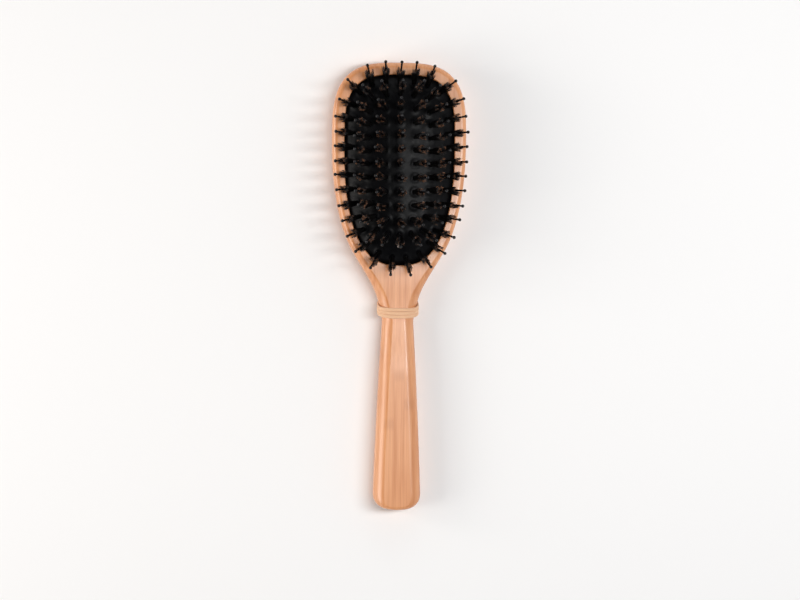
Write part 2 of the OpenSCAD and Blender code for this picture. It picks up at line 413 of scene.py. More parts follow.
@dataclass(frozen=True)
class MouldedRubber(Finish):
    """Black cushion rubber from a finely blasted mould: a dull black with a broad, soft sheen."""

    name: str = "moulded_rubber"
    base: str = "#050506"
    dust: str = "#0B0B0D"
    bloom_size: float = 7.14
    grain_size: float = 0.35
    relief: float = 0.06
    roughness: float = 0.36
    gloss: float = 0.085

    def dress(self, tree: bpy.types.NodeTree, shader: bpy.types.Node) -> None:
        """Draws the mould's grain and a faint bloom.

        Args:
            tree: the material's node tree.
            shader: its Principled BSDF.
        """
        place = add_node(tree, "ShaderNodeTexCoord").outputs["Object"]
        bloom = add_node(tree, "ShaderNodeTexNoise",
                         {"Vector": place, "Scale": 1 / (self.bloom_size * MM), "Detail": 4.0})
        mixed = add_node(tree, "ShaderNodeMix", {0: bloom, 6: colour(self.base), 7: colour(self.dust)},
                         data_type="RGBA")
        tree.links.new(mixed.outputs[2], shader.inputs["Base Color"])
        matt = add_node(tree, "ShaderNodeMapRange",
                        {"Value": bloom, "From Min": 0.3, "From Max": 0.7,
                         "To Min": self.roughness - 0.04, "To Max": self.roughness + 0.05})
        tree.links.new(matt.outputs["Result"], shader.inputs["Roughness"])
        grain = add_node(tree, "ShaderNodeTexNoise",
                         {"Vector": place, "Scale": 1 / (self.grain_size * MM), "Detail": 2.0})
        bump = add_node(tree, "ShaderNodeBump",
                        {"Height": grain, "Strength": 0.3, "Distance": self.relief * MM})
        tree.links.new(bump.outputs["Normal"], shader.inputs["Normal"])
        shader.inputs["IOR"].default_value = 1.52
        shader.inputs["Specular IOR Level"].default_value = self.gloss


@dataclass(frozen=True)
class MouldedNylon(Finish):
    """Black nylon, moulded and tumbled smooth: deep black with a small dim glint on each ball."""

    name: str = "moulded_nylon"
    base: str = "#070708"
    worn: str = "#111114"
    haze_size: float = 1.11
    roughness: float = 0.26
    gloss: float = 0.3

    def dress(self, tree: bpy.types.NodeTree, shader: bpy.types.Node) -> None:
        """Draws the slight haze of a tumbled surface.

        Args:
            tree: the material's node tree.
            shader: its Principled BSDF.
        """
        place = add_node(tree, "ShaderNodeTexCoord").outputs["Object"]
        haze = add_node(tree, "ShaderNodeTexNoise",
                        {"Vector": place, "Scale": 1 / (self.haze_size * MM), "Detail": 2.0})
        mixed = add_node(tree, "ShaderNodeMix", {0: haze, 6: colour(self.base), 7: colour(self.worn)},
                         data_type="RGBA")
        tree.links.new(mixed.outputs[2], shader.inputs["Base Color"])
        matt = add_node(tree, "ShaderNodeMapRange",
                        {"Value": haze, "To Min": self.roughness - 0.06, "To Max": self.roughness + 0.08})
        tree.links.new(matt.outputs["Result"], shader.inputs["Roughness"])
        shader.inputs["IOR"].default_value = 1.53
        shader.inputs["Specular IOR Level"].default_value = self.gloss


@dataclass(frozen=True)
class BoarBristle(Finish):
    """Black boar bristle, cut in the hide's own lengths: near-black shafts with split tan tips."""

    name: str = "boar_bristle"
    root: str = "#060504"
    shaft: str = "#0E0907"
    tip: str = "#966545"
    tan_from: float = 0.92
    tan_full: float = 0.965
    tan_spread: float = 0.2
    tan_shift: float = -0.19
    roughness: float = 0.42

    def dress(self, tree: bpy.types.NodeTree, shader: bpy.types.Node) -> None:
        """Colours each bristle from its root to its tip, some paler than others.

        Args:
            tree: the material's node tree.
            shader: its Principled BSDF.
        """
        along = add_node(tree, "ShaderNodeAttribute", attribute_name="along").outputs["Fac"]
        tone = add_node(tree, "ShaderNodeAttribute", attribute_name="tone").outputs["Fac"]
        reach = add_node(tree, "ShaderNodeMath", {0: tone, 1: self.tan_spread, 2: self.tan_shift},
                         operation="MULTIPLY_ADD")
        shifted = add_node(tree, "ShaderNodeMath", {0: along, 1: reach}, operation="ADD")
        ramp = add_node(tree, "ShaderNodeValToRGB", {0: shifted})
        set_ramp(ramp, [(0.0, self.root), (self.tan_from, self.shaft), (self.tan_full, self.tip)])
        tree.links.new(ramp.outputs["Color"], shader.inputs["Base Color"])
        shader.inputs["Roughness"].default_value = self.roughness
        shader.inputs["IOR"].default_value = 1.55


@dataclass(frozen=True)
class BraidedElastic(Finish):
    """Beige rubber thread under a cotton braid: matte, with a fine slanted yarn."""

    name: str = "braided_elastic"
    light: str = "#F0C49E"
    shade: str = "#CC9268"
    yarn: float = 0.42
    yarn_slant: float = 0.6
    relief: float = 0.08
    roughness: float = 0.78
    sheen: float = 0.25

    def dress(self, tree: bpy.types.NodeTree, shader: bpy.types.Node) -> None:
        """Draws the braid on the piece's own map, which is in millimetres.

        Args:
            tree: the material's node tree.
            shader: its Principled BSDF.
        """
        place = add_node(tree, "ShaderNodeUVMap", uv_map="braid").outputs["UV"]
        slant = add_node(tree, "ShaderNodeMapping", {"Vector": place, "Rotation": (0.0, 0.0, self.yarn_slant),
                                                     "Scale": (1 / self.yarn, 1 / self.yarn, 1.0)})
        # At this scale the wave's own period is about one unit, which the mapping makes one yarn
        yarn = add_node(tree, "ShaderNodeTexWave",
                        {"Vector": slant, "Scale": 0.32, "Distortion": 1.2, "Detail": 2.0,
                         "Detail Scale": 1.5}, wave_profile="SIN").outputs["Fac"]
        soft = add_node(tree, "ShaderNodeTexNoise", {"Vector": place, "Scale": 0.5, "Detail": 3.0})
        blend = add_node(tree, "ShaderNodeMath", {0: yarn, 1: soft}, operation="MULTIPLY")
        # The yarn pattern mixes a lit and a shaded tone of the one beige: painted shade that follows the yarn
        mixed = add_node(tree, "ShaderNodeMix", {0: blend, 6: colour(self.light), 7: colour(self.shade)},
                         data_type="RGBA")
        tree.links.new(mixed.outputs[2], shader.inputs["Base Color"])
        bump = add_node(tree, "ShaderNodeBump",
                        {"Height": yarn, "Strength": 0.5, "Distance": self.relief * MM})
        tree.links.new(bump.outputs["Normal"], shader.inputs["Normal"])
        shader.inputs["Roughness"].default_value = self.roughness
        shader.inputs["Sheen Weight"].default_value = self.sheen


@dataclass(frozen=True)
class StudioPaper(Finish):
    """Matt white background paper with a fine tooth."""

    name: str = "studio_paper"
    base: str = "#F8F7F6"
    tooth_size: float = 1.11
    relief: float = 0.1
    roughness: float = 0.9

    def dress(self, tree: bpy.types.NodeTree, shader: bpy.types.Node) -> None:
        """Gives the paper its tone and its fine tooth.

        Args:
            tree: the material's node tree.
            shader: its Principled BSDF.
        """
        place = add_node(tree, "ShaderNodeTexCoord").outputs["Object"]
        tooth = add_node(tree, "ShaderNodeTexNoise",
                         {"Vector": place, "Scale": 1 / (self.tooth_size * MM), "Detail": 2.0})
        bump = add_node(tree, "ShaderNodeBump",
                        {"Height": tooth, "Strength": 0.05, "Distance": self.relief * MM})
        tree.links.new(bump.outputs["Normal"], shader.inputs["Normal"])
        shader.inputs["Base Color"].default_value = colour(self.base)
        shader.inputs["Roughness"].default_value = self.roughness


# ---------------------------------------------------------------- the brush's form


def smooth_max(a: float, b: float, width: float) -> float:
    """The larger of two values, rounded where they cross."""
    near = max(width - abs(a - b), 0.0) / width
    return max(a, b) + near * near * width / 4


def ease(x: float) -> float:
    """Eases from 0 to 1."""
    t = min(max(x, 0.0), 1.0)
    return t * t * (3 - 2 * t)


def squared(wave: float, power: float) -> float:
    """A sine or cosine raised to a power under 1, which turns a circle into a rounded square."""
    return math.copysign(abs(wave) ** power, wave)


def hermite(t: float, a: float, slope_a: float, b: float, slope_b: float) -> float:
    """A curve that leaves and arrives with given slopes.

    Args:
        t: place on the curve, from 0 to 1.
        a: its start.
        slope_a: slope at its start, per unit of t.
        b: its end.
        slope_b: slope at its end.

    Returns:
        The curve's value.
    """
    return ((2 * t ** 3 - 3 * t * t + 1) * a + (t ** 3 - 2 * t * t + t) * slope_a
            + (3 * t * t - 2 * t ** 3) * b + (t ** 3 - t * t) * slope_b)


@dataclass(frozen=True)
class Egg:
    """An egg-shaped outline about the brush's axis, with its own roundness towards each end."""

    half: float
    middle: float
    up: float
    down: float
    round_up: float
    round_down: float

    def half_width(self, s: float) -> float:
        """Half-width of the egg.

        Args:
            s: a station.

        Returns:
            The half-width, 0 beyond either end.
        """
        above = s > self.middle
        u = (s - self.middle) / self.up if above else (self.middle - s) / self.down
        n = self.round_up if above else self.round_down
        return 0.0 if u >= 1 else self.half * (1 - u ** n) ** (1 / n)

    def stations(self, start: float, steps: int, steps_up: int) -> list[float]:
        """Stations that lie evenly round the outline.

        Args:
            start: the first station.
            steps: how many below the middle.
            steps_up: how many above it.

        Returns:
            Stations from start to the top of the egg.
        """
        reach = math.asin(min(((self.middle - start) / self.down) ** (self.round_down / 2), 1.0))
        below = [self.middle - self.down * math.sin(reach * (1 - i / steps)) ** (2 / self.round_down)
                 for i in range(steps)]
        above = [self.middle + self.up * math.sin(math.pi / 2 * i / steps_up) ** (2 / self.round_up)
                 for i in range(steps_up + 1)]
        return below + above


@dataclass
class Rail:
    """The right-hand side of an outline, from the handle's end up, with its outward normals."""

    points: np.ndarray
    normals: np.ndarray = field(init=False)

    def __post_init__(self) -> None:
        """Works out the normals; the two ends face along the brush."""
        step = np.zeros_like(self.points)
        step[1:-1] = self.points[2:] - self.points[:-2]
        normals = np.column_stack([step[:, 1], -step[:, 0]])
        normals[0], normals[-1] = (0, -1), (0, 1)
        self.normals = normals / np.linalg.norm(normals, axis=1)[:, None]

    def moved(self, across: Any, along: Any, height: Any) -> np.ndarray:
        """The rail moved out by across and along, each times its part of the normal.

        Args:
            across: outward distance across the brush, one or one a point.
            along: outward distance along the brush.
            height: height of the points.

        Returns:
            x, station, z rows.
        """
        out = self.points + self.normals * np.column_stack(np.broadcast_arrays(across, along))
        return np.column_stack([out, np.broadcast_to(height, len(out))])


@dataclass
class BrushForm:
    """The brush's outline and heights, in millimetres; lengths and heights come from the CAD frame."""

    length: float
    thickness: float
    head_thickness: float = 13.0
    handle_width: float = 25.7
    neck_width: float = 16.7
    neck_relief: float = 1.8
    front_relief: float = 0.8
    neck_at: float = 102.0
    neck_flare: float = 0.23
    neck_span: float = 30.0
    shoulder: tuple[float, float] = (112.0, 145.0)
    shoulder_slope: float = 0.405
    end_length: float = 9.5
    head_up: float = 41.0
    head_down: float = 78.5
    end_half: float = 0.4
    top_roundness: float = 3.2
    head_roundness: float = 2.2
    cushion_roundness: float = 2.6
    cushion_width: float = 58.4
    cushion_length: float = 101.5
    rim: float = 7.0
    crown: float = 9.8
    rubber: float = 1.3
    edge_drop: float = 2.0
    head: Egg = field(init=False)
    cushion: Egg = field(init=False)

    def __post_init__(self) -> None:
        """Places the head's and the cushion's eggs."""
        low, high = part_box("paddle_board")
        middle = self.length - self.head_up
        top = self.length - self.rim
        self.head = Egg((high.x - low.x) / 2 / MM, middle, self.head_up, self.head_down,
                        self.top_roundness, self.head_roundness)
        self.cushion = Egg(self.cushion_width / 2, middle, top - middle,
                           middle - top + self.cushion_length, self.top_roundness,
                           self.cushion_roundness)

    @property
    def centre(self) -> float:
        """Station of the origin."""
        return self.length / 2

    @property
    def edge_z(self) -> float:
        """Height of the cushion's edge."""
        return self.head_thickness - self.edge_drop

    def grip(self, s: float) -> float:
        """Half-width of the handle and neck.

        Args:
            s: a station below the shoulder.

        Returns:
            The half-width, which narrows to the neck and flares above it.
        """
        taper = (self.handle_width - self.neck_width) / 2 * (s / self.neck_at) ** 1.3
        return smooth_max(self.handle_width / 2 - taper,
                          self.neck_width / 2 + self.neck_flare * (s - self.neck_at), 0.6)

    def half_width(self, s: float) -> float:
        """Half-width of the board: a rounded end, the handle, the shoulder's curve, then the head.

        Args:
            s: a station.

        Returns:
            The half-width, never less than the short flat at each end.
        """
        start, stop = self.shoulder
        if s < start:
            end = 1 if s >= self.end_length else (1 - (1 - s / self.end_length) ** 2.5) ** (1 / 2.5)
            return max(self.end_half, self.grip(s) * end)
        if s < stop:
            span = stop - start
            return hermite((s - start) / span, self.grip(start), self.neck_flare * span,
                           self.head.half_width(stop), self.shoulder_slope * span)
        return max(self.end_half, self.head.half_width(s))

    def to_head(self, s: float) -> float:
        """0 on the handle, 1 on the head."""
        return ease((s - self.neck_at) / (self.shoulder[1] - self.neck_at))

    def hollow(self, s: float) -> float:
        """How far into the neck's hollow a station is, from 0 to 1."""
        off = abs(s - self.neck_at)
        return 0.0 if off >= self.neck_span else math.cos(math.pi / 2 * off / self.neck_span) ** 2

    def back_z(self, s: float) -> float:
        """Height of the board's back."""
        return self.neck_relief * self.hollow(s)

    def front_z(self, s: float) -> float:
        """Height of the board's front."""
        flat = self.thickness + (self.head_thickness - self.thickness) * self.to_head(s)
        return flat - self.front_relief * self.neck_relief * self.hollow(s)

    def dome_z(self, x: np.ndarray, s: np.ndarray, half: np.ndarray) -> np.ndarray:
        """Height of the rubber's outer face.

        Args:
            x: distances from the axis.
            s: stations.
            half: the cushion's half-width at those stations.

        Returns:
            Heights in millimetres.
        """
        reach = self.cushion_length / 2
        middle = self.length - self.rim - reach
        rise = 1 - np.minimum(np.abs(s - middle) / reach, 1) ** 3.4
        return self.edge_z + self.crown * rise * (1 - np.minimum(np.abs(x) / half, 1) ** 2)

    def cushion_rail(self, steps: int, steps_up: int) -> Rail:
        """The cushion's outline.

        Args:
            steps: how many points below its middle.
            steps_up: how many above it.

        Returns:
            The outline's right-hand side.
        """
        egg = self.cushion
        return Rail(np.array([(max(self.end_half, egg.half_width(s)), s)
                              for s in egg.stations(egg.middle - egg.down, steps, steps_up)]))


def lofted(name: str, layers: list[np.ndarray], centre: float,
           material: bpy.types.Material | None = None) -> bpy.types.Object:
    """Joins right-hand layers and their mirror images into a closed solid.

    Args:
        name: the object's name.
        layers: x, station, z rows of each layer, from the bottom up.
        centre: station of the origin.
        material: the finish.

    Returns:
        The solid, closed by strips across its first and last layer.
    """
    half = len(layers[0])
    n = 2 * half
    rings = [np.vstack([layer, layer[::-1] * (-1, 1, 1)]) - (0, centre, 0) for layer in layers]
    faces = [(j * n + i, j * n + (i + 1) % n, (j + 1) * n + (i + 1) % n, (j + 1) * n + i)
             for j in range(len(rings) - 1) for i in range(n)]
    for start in (0, (len(rings) - 1) * n):
        faces += [(start + i, start + i + 1, start + n - 2 - i, start + n - 1 - i) for i in range(half - 1)]
    return mesh_piece(name, np.vstack(rings), faces, material)


# ---------------------------------------------------------------- the board


@dataclass
class PaddleBoard:
    """The bamboo board: handle, neck and head in one, with the cushion's recess."""

    form: BrushForm
    crest_inset: float = 5.2
    crest_round: float = 0.4
    flank_width: float = 7.9
    flank_height: float = 6.4
    flank_turn: float = 70.0
    head_round: float = 3.0
    end_inset: float = 1.6
    end_drop: float = 2.0
    back_round: float = 3.2
    recess_depth: float = 7.0
    seat_gap: float = 0.3
    lip_round: float = 0.6
    groove: tuple[float, float, float] = (1.3, 9.2, 11.3)
    edge_steps: int = 16
    sharp_angle: float = 38.0

    def rail(self) -> Rail:
        """The board's outline, with most of its points where it turns.

        Returns:
            The outline's right-hand side.
        """
        form = self.form
        end = [form.end_length * (i / 26) ** 2.4 for i in range(26)]
        handle = list(np.linspace(form.end_length, form.shoulder[0], 60, endpoint=False))
        neck = list(np.linspace(form.shoulder[0], form.shoulder[1], 24, endpoint=False))
        head = form.head.stations(form.shoulder[1], 40, 46)
        stations = end + handle + neck + head
        return Rail(np.array([(form.half_width(s), s) for s in stations]))

    def flank(self) -> np.ndarray:
        """Handle's flank: an elliptical side that meets the flat front at a crisp crest.

        Returns:
            Inset and drop of each edge step, from the side to the front.
        """
        turn = math.radians(self.flank_turn)
        reach = self.flank_width * (1 - math.cos(turn))
        steps = self.edge_steps - 4
        arc = [(self.flank_width * (1 - math.cos(a)) * self.crest_inset / reach,
                self.flank_height * (math.sin(turn) - math.sin(a)))
               for a in (turn * i / steps for i in range(steps))]
        slope = self.flank_height * math.cos(turn) / (self.flank_width * math.sin(turn))
        before = np.array((self.crest_inset - self.crest_round, self.crest_round * slope))
        crest = np.array((self.crest_inset, 0.0))
        after = np.array((self.crest_inset + self.crest_round, 0.0))
        corner = [(1 - t) ** 2 * before + 2 * t * (1 - t) * crest + t * t * after
                  for t in (i / 4 for i in range(5))]
        return np.array(arc + [tuple(p) for p in corner])

    def rounding(self, inset: float, drop: float) -> np.ndarray:
        """A quarter-round edge, as inset and drop of each edge step."""
        angles = np.linspace(0, math.pi / 2, self.edge_steps + 1)
        return np.column_stack([inset * (1 - np.cos(angles)), drop * (1 - np.sin(angles))])

    def front_layers(self, rail: Rail) -> list[np.ndarray]:
        """Layers of the front edge: the handle's flank turns into the head's rounding.

        Args:
            rail: the board's outline.

        Returns:
            The layers, from the side to the front.
        """
        form = self.form
        flank, head = self.flank(), self.rounding(self.head_round, self.head_round)
        end = self.rounding(self.end_inset, self.end_drop)
        stations = rail.points[:, 1]
        mix = np.array([form.to_head(s) for s in stations])
        face = np.array([form.front_z(s) for s in stations])
        facing_end = rail.normals[:, 1] ** 2 * (1 - mix)
        layers = []
        for k in range(self.edge_steps + 1):
            across = flank[k, 0] + (head[k, 0] - flank[k, 0]) * mix
            along = end[k, 0] + (head[k, 0] - end[k, 0]) * mix
            drop = flank[k, 1] + (head[k, 1] - flank[k, 1]) * mix
            drop = drop + (end[k, 1] - drop) * facing_end
            layers.append(rail.moved(-across, -along, face - drop))
        return layers

    def back_layers(self, rail: Rail) -> list[np.ndarray]:
        """Layers of the rounded back edge.

        Args:
            rail: the board's outline.

        Returns:
            The layers, from the back to the side.
        """
        form = self.form
        stations = rail.points[:, 1]
        base = np.array([form.back_z(s) for s in stations])
        mix = np.array([form.to_head(s) for s in stations])
        end = self.end_inset + (self.back_round - self.end_inset) * mix
        return [rail.moved(-self.back_round * (1 - math.sin(a)), -end * (1 - math.sin(a)),
                           base + self.back_round * (1 - math.cos(a)))
                for a in np.linspace(0, math.pi / 2, 8)]

    def cutters(self) -> list[bpy.types.Object]:
        """The recess with its rounded lip, and the groove for the rubber's bead.

        Returns:
            A cutter for each.
        """
        form = self.form
        rail = form.cushion_rail(70, 56)
        gap, lip, top = self.seat_gap, self.lip_round, form.head_thickness
        lip_turns = np.radians(np.linspace(0, 80, 7))
        outward = [gap] + [gap + lip * (1 - math.cos(a)) for a in lip_turns]
        heights = [top - self.recess_depth] + [top - lip + lip * math.sin(a) for a in lip_turns]
        recess = [rail.moved(d, d, z) for d, z in zip(outward, heights)]
        recess.append(rail.moved(outward[-1], outward[-1], top + 2))
        reach, low, high = self.groove
        groove = [rail.moved(gap + reach, gap + reach, z) for z in (low, high)]
        return [lofted("recess_cutter", recess, form.centre), lofted("groove_cutter", groove, form.centre)]

    def build(self, finish: Finish) -> bpy.types.Object:
        """Lofts the board, mills its recess and puts it on the handle.

        Args:
            finish: the board's finish.

        Returns:
            The finished board.
        """
        rail = self.rail()
        board = lofted("board", self.back_layers(rail) + self.front_layers(rail), self.form.centre,
                       finish.material())
        for cutter in self.cutters():
            carve(board, cutter)
        even_shading(board, self.sharp_angle)
        install(board, Body.HANDLE, Slot.BAMBOO, "paddle_board")
        return board


# ---------------------------------------------------------------- tufts


@dataclass
class Tuft:
    """Where a pin and its bristles stand on the rubber: the root in millimetres and the lean."""

    root: Vector
    axis: Vector


@dataclass
class TuftRow:
    """The tufts of one CAD pin node."""

    pin_node: str
    bristle_node: str
    tufts: list[Tuft]


@dataclass
class TuftField:
    """Every tuft of the cushion, read from the CAD pins."""

    under_rubber: float = 2.1
    scatter: float = 1.8
    seed: int = 11
    rows: list[TuftRow] = field(default_factory=list)

    def solids(self, node: str) -> list[np.ndarray]:
        """The vertices of each separate solid in a CAD node, in millimetres.

        Args:
            node: the CAD node's name.

        Returns:
            One array of x, y, z rows a solid.
        """
        form = bmesh.new()
        form.from_mesh(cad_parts[node].data)
        bmesh.ops.remove_doubles(form, verts=form.verts, dist=1e-6)
        seen: set[bmesh.types.BMVert] = set()
        found = []
        for start in form.verts:
            if start in seen:
                continue
            seen.add(start)
            stack, part = [start], []
            while stack:
                vert = stack.pop()
                part.append(vert.co / MM)
                for edge in vert.link_edges:
                    other = edge.other_vert(vert)
                    if other not in seen:
                        seen.add(other)
                        stack.append(other)
            found.append(np.array(part))
        form.free()
        return found

    def tuft(self, pin: np.ndarray, chance: random.Random) -> Tuft:
        """A pin's root and axis, from the centres of its foot and its ball.

        Args:
            pin: the vertices of one CAD pin.
            chance: the source of the small scatter between real pins.

        Returns:
            The tuft.
        """
        axis = np.linalg.svd(pin - pin.mean(0), full_matrices=False)[2][0]
        axis = axis if axis[2] > 0 else -axis
        # The long axis finds the two ends, and the line between their centres is a closer axis
        for _ in range(2):
            reach = pin @ axis
            foot = pin[reach < reach.min() + 0.1].mean(0)
            ball = pin[reach > reach.max() - 0.6].mean(0)
            axis = (ball - foot) / np.linalg.norm(ball - foot)
        root = foot + axis * self.under_rubber
        swing = math.radians(self.scatter)
        nudge = Vector([chance.uniform(-swing, swing) for _ in range(3)])
        return Tuft(Vector(root), (Vector(axis) + nudge).normalized())

    def read(self) -> "TuftField":
        """Reads every pin node of the frame, the ring first.

        Returns:
            This field, with its rows filled.
        """
        chance = random.Random(self.seed)
        for node in sorted(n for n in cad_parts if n.startswith("pin_")):
            tufts = [self.tuft(pin, chance) for pin in self.solids(node)]
            tufts.sort(key=lambda t: (t.root.x, t.root.y))
            self.rows.append(TuftRow(node, node.replace("pin", "bristle"), tufts))
            LOG.info("%s: %d tufts", node, len(tufts))
        return self

    def roots(self) -> np.ndarray:
        """Every root, as x, y, z rows in millimetres."""
        return np.array([tuft.root for row in self.rows for tuft in row.tufts])


@dataclass
class Plantation:
    """A Geometry Nodes tree that stands copies of a shape on tuft roots."""

    name: str
    sizes: dict[str, float]

    def start(self) -> tuple[bpy.types.NodeTree, bpy.types.Node]:
        """Makes the tree with its named inputs.

        Returns:
            The tree and its Group Input node.
        """
        tree = bpy.data.node_groups.new(self.name, "GeometryNodeTree")
        face = tree.interface
        face.new_socket("Geometry", in_out="OUTPUT", socket_type="NodeSocketGeometry")
        face.new_socket("Roots", in_out="INPUT", socket_type="NodeSocketGeometry")
        face.new_socket("Shape", in_out="INPUT", socket_type="NodeSocketObject")
        face.new_socket("Seed", in_out="INPUT", socket_type="NodeSocketInt")
        for name in self.sizes:
            face.new_socket(name, in_out="INPUT", socket_type="NodeSocketFloat")
        return tree, add_node(tree, "NodeGroupInput")

    def end(self, tree: bpy.types.NodeTree, instances: bpy.types.Node,
            material: bpy.types.Material) -> None:
        """Ends the tree in Realize Instances and Set Material.

        Args:
            tree: the tree to end.
            instances: the node whose first output is the planted copies.
            material: their finish.
        """
        real = add_node(tree, "GeometryNodeRealizeInstances", {0: instances})
        dressed = add_node(tree, "GeometryNodeSetMaterial", {"Geometry": real, "Material": material})
        add_node(tree, "NodeGroupOutput", {0: dressed})

    def plant(self, tree: bpy.types.NodeTree, name: str, tufts: list[Tuft], shape: bpy.types.Object,
              seed: int) -> bpy.types.Object:
        """Runs the tree on a row of tufts.

        Args:
            tree: the finished tree.
            name: the new piece's name.
            tufts: the tufts to stand copies on.
            shape: the copied shape.
            seed: the row's own seed.

        Returns:
            The row as one plain mesh.
        """
        mesh = bpy.data.meshes.new(name)
        mesh.from_pydata([tuft.root * MM for tuft in tufts], [], [])
        lean = mesh.attributes.new("lean", "FLOAT_VECTOR", "POINT")
        lean.data.foreach_set("vector", [c for tuft in tufts for c in tuft.axis])
        piece = bpy.data.objects.new(name, mesh)
        bpy.context.scene.collection.objects.link(piece)
        planted = piece.modifiers.new(self.name, "NODES")
        planted.node_group = tree
        values = {"Shape": shape, "Seed": seed, **self.sizes}
        for item in tree.interface.items_tree:
            if item.name in values:
                planted[item.identifier] = values[item.name]
        return settle(piece)


@dataclass
class Pins:
    """Ball-tipped nylon pins, one in each tuft, with a foot under the rubber."""

    tufts: TuftField
    length: float = 18.0
    radius: float = 0.52
    ball: float = 0.9
    foot: float = 1.6
    foot_top: float = -1.4
    foot_bottom: float = -2.1
    sides: int = 10

    def profile(self) -> list[tuple[float, float]]:
        """Outline of the turned pin: its foot, a shaft that is thicker at its root, and its ball.

        Returns:
            Radius and height of each point, from the bottom up.
        """
        neck = math.asin(self.radius / self.ball)
        turns = [math.pi - neck + (neck - math.pi) * i / 6 for i in range(7)]
        ball = [(self.ball * math.sin(a), self.length + self.ball * math.cos(a)) for a in turns]
        shaft = [(0.0, self.foot_bottom), (self.foot, self.foot_bottom), (self.foot, self.foot_top - 0.2),
                 (self.radius * 1.5, self.foot_top), (self.radius * 1.35, 0.3), (self.radius * 1.05, 1.6),
                 (self.radius, self.length / 2)]
        return shaft + ball

    def shape(self, material: bpy.types.Material) -> bpy.types.Object:
        """Turns one pin about its own axis.

        Args:
            material: the pin's finish.

        Returns:
            The pin, its root at the origin.
        """
        profile = self.profile()
        points, faces = [(0.0, 0.0, profile[0][1])], []
        for radius, height in profile[1:-1]:
            points += [(radius * math.cos(a), radius * math.sin(a), height)
                       for a in (2 * math.pi * i / self.sides for i in range(self.sides))]
        points.append((0.0, 0.0, profile[-1][1]))
        last, n = len(points) - 1, self.sides
        for i in range(n):
            j = (i + 1) % n
            faces += [(0, 1 + j, 1 + i), (last, last - n + i, last - n + j)]
            faces += [(1 + k * n + i, 1 + k * n + j, 1 + (k + 1) * n + j, 1 + (k + 1) * n + i)
                      for k in range(len(profile) - 3)]
        return mesh_piece("pin_shape", points, faces, material)

    def tree(self, plantation: Plantation, material: bpy.types.Material) -> bpy.types.NodeTree:
        """The tree that stands a pin on each root, turned to its lean.

        Args:
            plantation: the planting that the tree belongs to.
            material: the pins' finish.

        Returns:
            The finished tree.
        """
        tree, given = plantation.start()
        lean = add_node(tree, "GeometryNodeInputNamedAttribute", {"Name": "lean"}, data_type="FLOAT_VECTOR")
        upright = add_node(tree, "FunctionNodeAlignRotationToVector", {"Vector": lean}, axis="Z")
        longer = add_node(tree, "FunctionNodeRandomValue", {2: 0.985, 3: given.outputs["Stretch"],
                                                            "Seed": given.outputs["Seed"]})
        size = add_node(tree, "ShaderNodeCombineXYZ", {0: 1.0, 1: 1.0, 2: longer.outputs[1]})
        shape = add_node(tree, "GeometryNodeObjectInfo", {0: given.outputs["Shape"]})
        points = add_node(tree, "GeometryNodeMeshToPoints", {0: given.outputs["Roots"]})
        stood = add_node(tree, "GeometryNodeInstanceOnPoints",
                         {"Points": points, "Instance": shape.outputs["Geometry"],
                          "Rotation": upright, "Scale": size})
        plantation.end(tree, stood, material)
        return tree

    def build(self, finish: Finish) -> None:
        """Plants every row of pins.

        Args:
            finish: the nylon.
        """
        material = finish.material()
        shape = self.shape(material)
        plantation = Plantation("pin_planting", {"Stretch": 1.01})
        tree = self.tree(plantation, material)
        for seed, row in enumerate(self.tufts.rows):
            piece = plantation.plant(tree, row.pin_node.replace("pin", "pins"), row.tufts, shape, seed)
            install(piece, Body.PIN_FIELD, Slot.NYLON, row.pin_node)
        remove_tool(shape)


